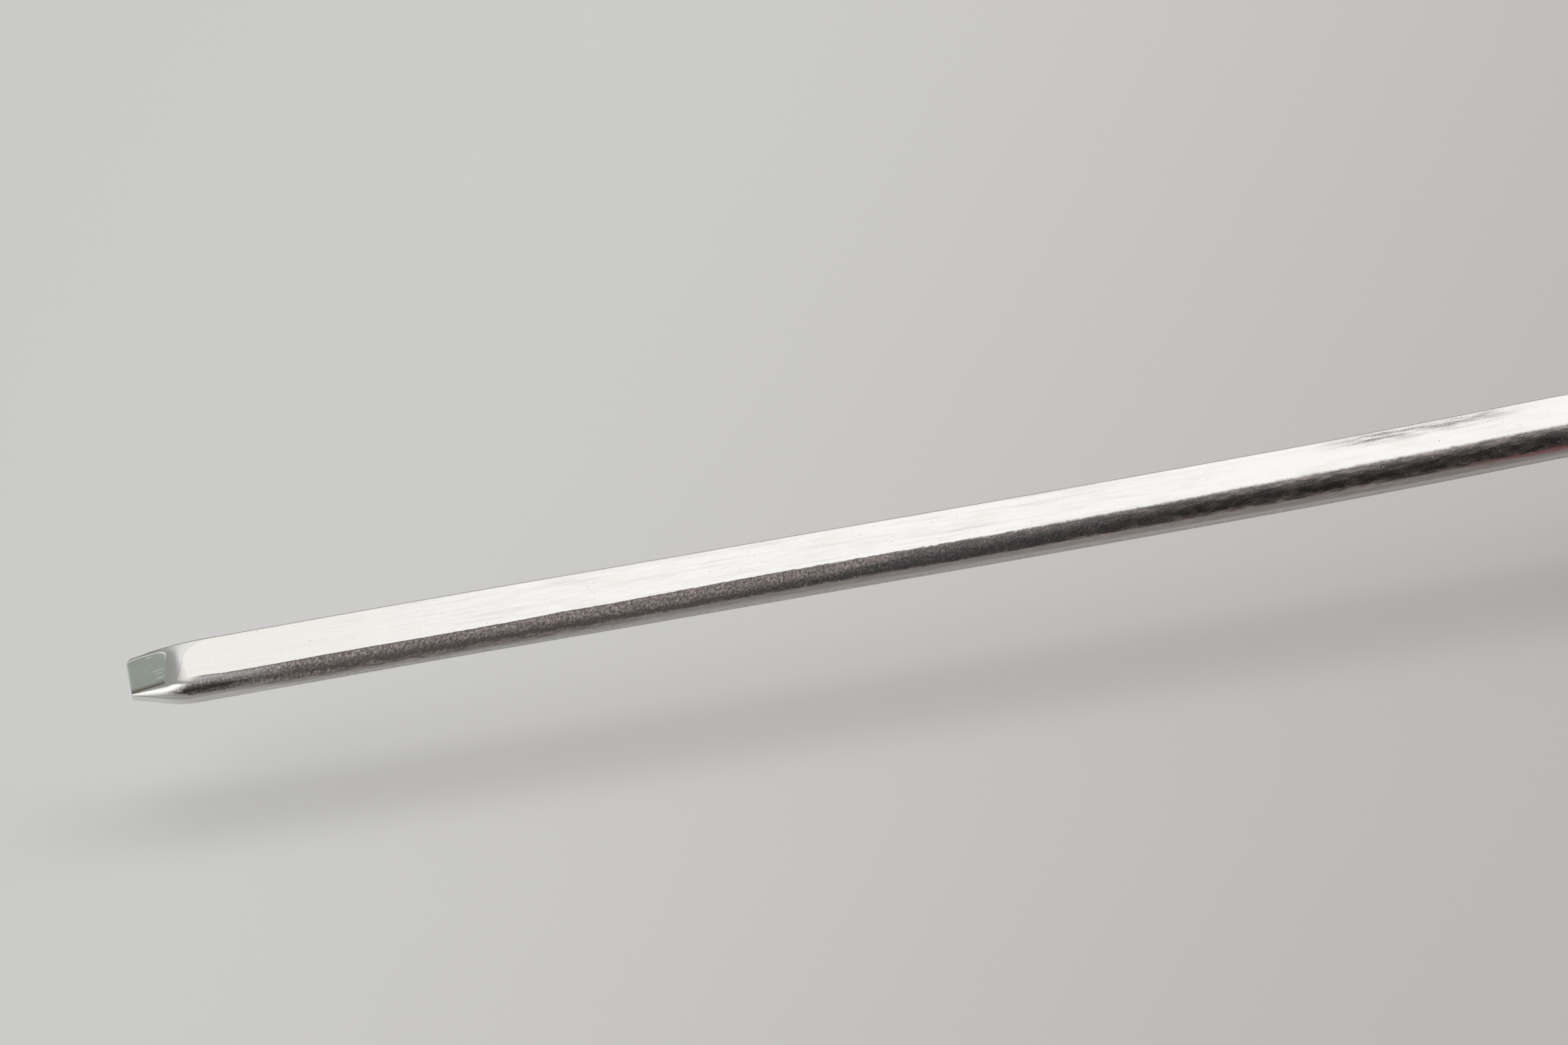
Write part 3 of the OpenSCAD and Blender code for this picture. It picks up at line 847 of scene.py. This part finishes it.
def woodFinish():
    look = woodLook
    hue = look["colour"]
    material, tree, shader = newFinish("oiledHardwood", 0)
    ramp, cloudy, times, plus, minus, paint = shortForms(tree, look)
    lean = [math.radians(turn) for turn in look["lean"]]
    grainWay = mapped(tree, toolSpot(tree), Location=look["heart"], Rotation=lean)
    long = mapped(tree, grainWay, Scale=look["ringWay"])
    wave = dict(wave_type="RINGS", rings_direction="X", wave_profile="SAW")
    rings = addNode(tree, "ShaderNodeTexWave", dict(look["rings"], Vector=long), **wave)["Fac"]
    strands = cloudy(mapped(tree, grainWay, Scale=look["fibreWay"]), "strands")
    clouds = cloudy(long, "clouds")
    pores = ramp(cloudy(mapped(tree, grainWay, Scale=look["poreWay"]), "pores"), "pores")

    light = plus(times(rings, look["ringShare"]), ramp(strands, "strandLight"))
    light = plus(light, ramp(clouds, "cloudLight"))
    colour = paint(light, hue["dark"], hue["pale"])
    colour = paint(times(pores, look["poreShare"]), colour, hue["pore"])
    worn = times(ramp(readMark(tree, "corner"), "corner"), ramp(clouds, "wornCloud"))
    height = minus(times(strands, look["strandHeight"]), pores)
    feed(tree, shader, {
        "Base Color": paint(worn, colour, hue["worn"]),
        "Roughness": plus(look["rough"], ramp(strands, "strandRough")),
        "Coat Weight": look["coat"],
        "Coat Roughness": look["coatRough"],
        "Normal": bump(tree, height, look["poreDepth"]),
    })
    return material


turnPiece(
    "handle_wood", handleProfile(),
    {"Around": handle["around"], "Flats": handle["flats"], "Front Flat": handle["frontFlat"],
     "Rear Flat": handle["rearFlat"], "Flat Start": handle["front"], "Flat End": handle["butt"],
     "Corner Round": handle["cornerRound"], "Edge Round": handle["edgeRound"]},
    woodFinish(), "handle",
)
print("handle done")

# the ferrule: brass cup with a rounded front and a rolled groove
ferrule = dict(
    length=13.0, outside=5.5, inside=4.8, wall=0.7, hole=2.0, frontRound=1.2, lip=0.12,
    grooveX=9.5, grooveRadius=0.6, grooveDepth=0.25,
    grooveShoulder=0.12, shoulderReach=0.36, shoulderDip=0.004,
    roundSteps=14, grooveSteps=14, lipSteps=4, around=160,
    flats=8, flatAway=100.0, flatRound=0.1,  # flats so far out that the ferrule stays round
)


def ferruleProfile():
    f = ferrule
    r, rise = f["grooveRadius"], f["grooveRadius"] - f["grooveDepth"]
    spread = math.degrees(math.acos(rise / r))
    half = math.sqrt(r * r - rise * rise)
    dip = f["outside"] - f["shoulderDip"]
    points = [(0, f["hole"] + f["lip"]), (0, f["outside"] - f["frontRound"])]
    front = arc(f["frontRound"], f["outside"] - f["frontRound"], f["frontRound"], 180, 90, f["roundSteps"])
    points += front[1:]
    points += [(f["grooveX"] - half - f["shoulderReach"], f["outside"])]
    points += [(f["grooveX"] - half - f["grooveShoulder"], dip)]
    groove = arc(f["grooveX"], f["outside"] + rise, r, 270 - spread, 270 + spread, f["grooveSteps"])
    points += groove[1:-1]
    points += [(f["grooveX"] + half + f["grooveShoulder"], dip)]
    points += [(f["grooveX"] + half + f["shoulderReach"], f["outside"])]
    points += arc(f["length"] - f["lip"], f["outside"] - f["lip"], f["lip"], 90, 0, f["lipSteps"])
    points += [(f["length"], f["inside"]), (f["wall"], f["inside"]), (f["wall"], f["hole"])]
    points += [(f["lip"], f["hole"]), (0, f["hole"] + f["lip"])]
    return points


brassLook = dict(
    colour=dict(bright=(0.86, 0.64, 0.29), dull=(0.62, 0.43, 0.17), tarnish=(0.30, 0.19, 0.08)),
    noise=dict(lines=(7, 4, 0.7), clouds=(0.42, 4, 0.6)),
    ramp=dict(
        lines=(0.3, 0.7), tarnish=(0.48, 0.72, 0, 0.45), cloudRough=(0.35, 0.7, -0.05, 0.16),
        # tarnish in the rolled groove
        grooveDeep=(ferrule["outside"] - 0.2, ferrule["outside"] - 0.05, 0.7, 0),
        grooveFrom=(ferrule["grooveX"] - 1, ferrule["grooveX"] - 0.7),
    ),
    rough=0.24, lineDepth=3e-6,
)


def brassFinish():
    look = brassLook
    hue = look["colour"]
    material, tree, shader = newFinish("turnedBrass", 1)
    ramp, cloudy, times, plus, _, paint = shortForms(tree, look)
    spot = toolSpot(tree)
    x, y, z = split(tree, spot)
    radius = calc(tree, "SQRT", plus(times(y, y), times(z, z)))
    lines = cloudy(combine(tree, x, radius, 0), "lines")
    clouds = cloudy(spot, "clouds")
    colour = paint(ramp(lines, "lines"), hue["dull"], hue["bright"])
    colour = paint(ramp(clouds, "tarnish"), colour, hue["tarnish"])
    rolled = times(ramp(radius, "grooveDeep"), ramp(x, "grooveFrom"))
    feed(tree, shader, {
        "Base Color": paint(rolled, colour, hue["tarnish"]),
        "Roughness": plus(look["rough"], ramp(clouds, "cloudRough")),
        "Normal": bump(tree, lines, look["lineDepth"]),
    })
    return material


turnPiece(
    "ferrule_brass", ferruleProfile(),
    {"Around": ferrule["around"], "Flats": ferrule["flats"], "Front Flat": ferrule["flatAway"],
     "Rear Flat": ferrule["flatAway"], "Flat Start": 0.0, "Flat End": ferrule["flatAway"],
     "Corner Round": ferrule["flatRound"], "Edge Round": ferrule["flatRound"]},
    brassFinish(), "ferrule",
)
print("ferrule done")

# the bedding keeps its solid and gets a cured-resin finish
beddingLook = dict(
    colour=dict(dark=(0.018, 0.015, 0.012), light=(0.06, 0.048, 0.036)),
    noise=dict(cloud=(900, 4, 0.6)),
    ramp=dict(cloud=(0.35, 0.65), rough=(0.3, 0.7, 0.22, 0.4)),
    depth=4e-5,
)


def beddingFinish():
    look = beddingLook
    hue = look["colour"]
    material, tree, shader = newFinish("curedBedding", 0)
    ramp, cloudy, *_, paint = shortForms(tree, look)
    cloud = cloudy(objectSpot(tree), "cloud")
    feed(tree, shader, {
        "Base Color": paint(ramp(cloud, "cloud"), hue["dark"], hue["light"]),
        "Roughness": ramp(cloud, "rough"),
        "Normal": bump(tree, cloud, look["depth"]),
    })
    return material


bedding = frame["nodes"]["tang_adhesive"]
beddingCoat = beddingFinish()
if bedding.material_slots:
    for place in bedding.material_slots:
        place.material = beddingCoat
else:
    bedding.data.materials.append(beddingCoat)
print("bedding done")

# camera at the photograph's angle: degrees and millimetres, with the clip distances in metres
shot = dict(
    elevation=23.5, rise=10.154, width=73.99, lens=500.0, sensor=36.0,
    fromTip=31.70, aboveAxis=2.337, clipStart=0.01, clipEnd=20,
)
turnUp = math.radians(shot["elevation"])
toCamera = Vector((0, -math.cos(turnUp), math.sin(turnUp)))
toCamera = (toCamera - toButt * toCamera.dot(toButt)).normalized()
overAxis = toCamera.cross(toButt)
roll = math.radians(shot["rise"])
right = toButt * math.cos(roll) - overAxis * math.sin(roll)
up = toButt * math.sin(roll) + overAxis * math.cos(roll)
aim = onBench(shot["fromTip"] - blade["reach"], 0, 0) + overAxis * shot["aboveAxis"] * bench["mm"]
away = shot["width"] * bench["mm"] * shot["lens"] / shot["sensor"]
lens = bpy.data.cameras.new("shot")
lens.lens = shot["lens"]
lens.sensor_width = shot["sensor"]
lens.clip_start = shot["clipStart"]
lens.clip_end = shot["clipEnd"]
camera = bpy.data.objects.new("shot", lens)
pointing = Matrix((right, up, toCamera)).transposed().to_4x4()
pointing.translation = aim + toCamera * away
camera.matrix_world = pointing
bpy.context.scene.collection.objects.link(camera)
bpy.context.scene.camera = camera
print("camera done")

# floor, world and lamps: lengths in metres, powers in watts
studio = dict(
    floorSize=8.0, floorDrop=5e-5, floorTone=(0.69, 0.685, 0.675), floorShade=(0.535, 0.519, 0.51),
    floorFrom=-0.108, floorTo=-0.016, floorLean=-0.3, floorRough=0.7,
    worldFront=0.08, worldBack=0.16, worldTop=0.42, worldTurn=(-0.6, 0.5), worldRise=(0.35, 0.95),
    paleWorld=(0.60, 0.59, 0.58),
    keyHeight=0.55, keyLeft=-0.13, keyRight=1.3, keyFront=-0.2, keyBack=0.5, keyPower=2.4,
    fillAt=(0.9, -0.1, 0.6), fillSize=1.0, fillPower=6.6,
    sideAt=(-0.52, -0.70, 0.46), sideAway=0.7, sideWidth=0.32, sideHeight=0.74, sidePower=1.2,
)
# cards on the floor, seen only in reflections: millimetres from the tip, and how bright they are
cards = dict(
    lift=0.2,
    white=dict(left=-400, right=-4, front=-500, backLeft=2, backRight=2, glow=1.15),
    black=dict(left=-4, right=78, front=-500, backLeft=-10, backRight=-12, glow=0.08),
)
tipSpot = onBench(-blade["reach"], 0, 0)


def layStage(name, corners, height, material):
    mesh = bpy.data.meshes.new(name)
    mesh.from_pydata([(x, y, height) for x, y in corners], [], [(0, 1, 2, 3)])
    mesh.materials.append(material)
    sheet = bpy.data.objects.new(name, mesh)
    bpy.context.scene.collection.objects.link(sheet)
    return sheet


def makeFloor():
    half = studio["floorSize"] / 2
    corners = [(-half, -half), (half, -half), (half, half), (-half, half)]
    material, tree, shader = newFinish("paleFloor", 0)
    x, y, _ = split(tree, objectSpot(tree))
    lean = calc(tree, "ADD", x, calc(tree, "MULTIPLY", y, studio["floorLean"]))
    share = rescale(tree, lean, studio["floorFrom"], studio["floorTo"])
    feed(tree, shader, {
        "Base Color": tint(tree, share, studio["floorTone"], studio["floorShade"]),
        "Roughness": studio["floorRough"],
        "Specular IOR Level": 0,
    })
    layStage("floor", corners, -studio["floorDrop"], material)


def makeCard(name):
    c = cards[name]
    mm = bench["mm"]
    corners = [(c["left"], c["front"]), (c["right"], c["front"])]
    corners += [(c["right"], c["backRight"]), (c["left"], c["backLeft"])]
    placed = [(tipSpot.x + x * mm, tipSpot.y + y * mm) for x, y in corners]
    material, tree, shader = newFinish(name + "Card", 0)
    feed(tree, shader, {
        "Base Color": (0, 0, 0),
        "Specular IOR Level": 0,
        "Emission Color": (1, 1, 1),
        "Emission Strength": c["glow"],
    })
    card = layStage(name + "Card", placed, cards["lift"] * mm, material)
    card.visible_camera = False
    card.visible_diffuse = False
    card.visible_shadow = False


def makeWorld():
    world = bpy.data.worlds.new("studio")
    bpy.context.scene.world = world
    world.use_nodes = True
    tree = world.node_tree
    _, toBack, toTop = split(tree, addNode(tree, "ShaderNodeTexCoord")["Generated"])
    side = rescale(tree, toBack, *studio["worldTurn"], studio["worldFront"], studio["worldBack"])
    tone = blendValue(tree, rescale(tree, toTop, *studio["worldRise"]), side, studio["worldTop"])
    shade = addNode(tree, "ShaderNodeCombineColor", dict.fromkeys(("Red", "Green", "Blue"), tone))[0]
    seen = addNode(tree, "ShaderNodeLightPath")["Is Camera Ray"]
    feed(tree, tree.nodes["Background"], {"Color": tint(tree, seen, shade, studio["paleWorld"])})


def addLamp(name, spot, target, width, height, power):
    light = bpy.data.lights.new(name, "AREA")
    light.shape = "RECTANGLE"
    light.size = width
    light.size_y = height
    light.energy = power
    lamp = bpy.data.objects.new(name, light)
    lamp.location = spot
    lamp.rotation_euler = (Vector(target) - Vector(spot)).to_track_quat("-Z", "Y").to_euler()
    lamp.visible_camera = False
    bpy.context.scene.collection.objects.link(lamp)
    return light


makeFloor()
makeCard("white")
makeCard("black")
makeWorld()
keyWidth = studio["keyRight"] - studio["keyLeft"]
keyDepth = studio["keyBack"] - studio["keyFront"]
keyX = tipSpot.x + (studio["keyLeft"] + studio["keyRight"]) / 2
keySpot = Vector((keyX, (studio["keyFront"] + studio["keyBack"]) / 2, studio["keyHeight"]))
addLamp("overhead", keySpot, keySpot - Vector((0, 0, 1)), keyWidth, keyDepth, studio["keyPower"])
fillSpot = tipSpot + Vector(studio["fillAt"])
fill = addLamp("fill", fillSpot, (0, 0, 0), studio["fillSize"], studio["fillSize"], studio["fillPower"])
fill.use_shadow = False  # it draws no second shadow on the floor
sideSpot = tipSpot + Vector(studio["sideAt"]).normalized() * studio["sideAway"]
addLamp("lowSideSheen", sideSpot, tipSpot, studio["sideWidth"], studio["sideHeight"], studio["sidePower"])
bpy.context.scene.view_settings.view_transform = "Standard"
print("studio done")
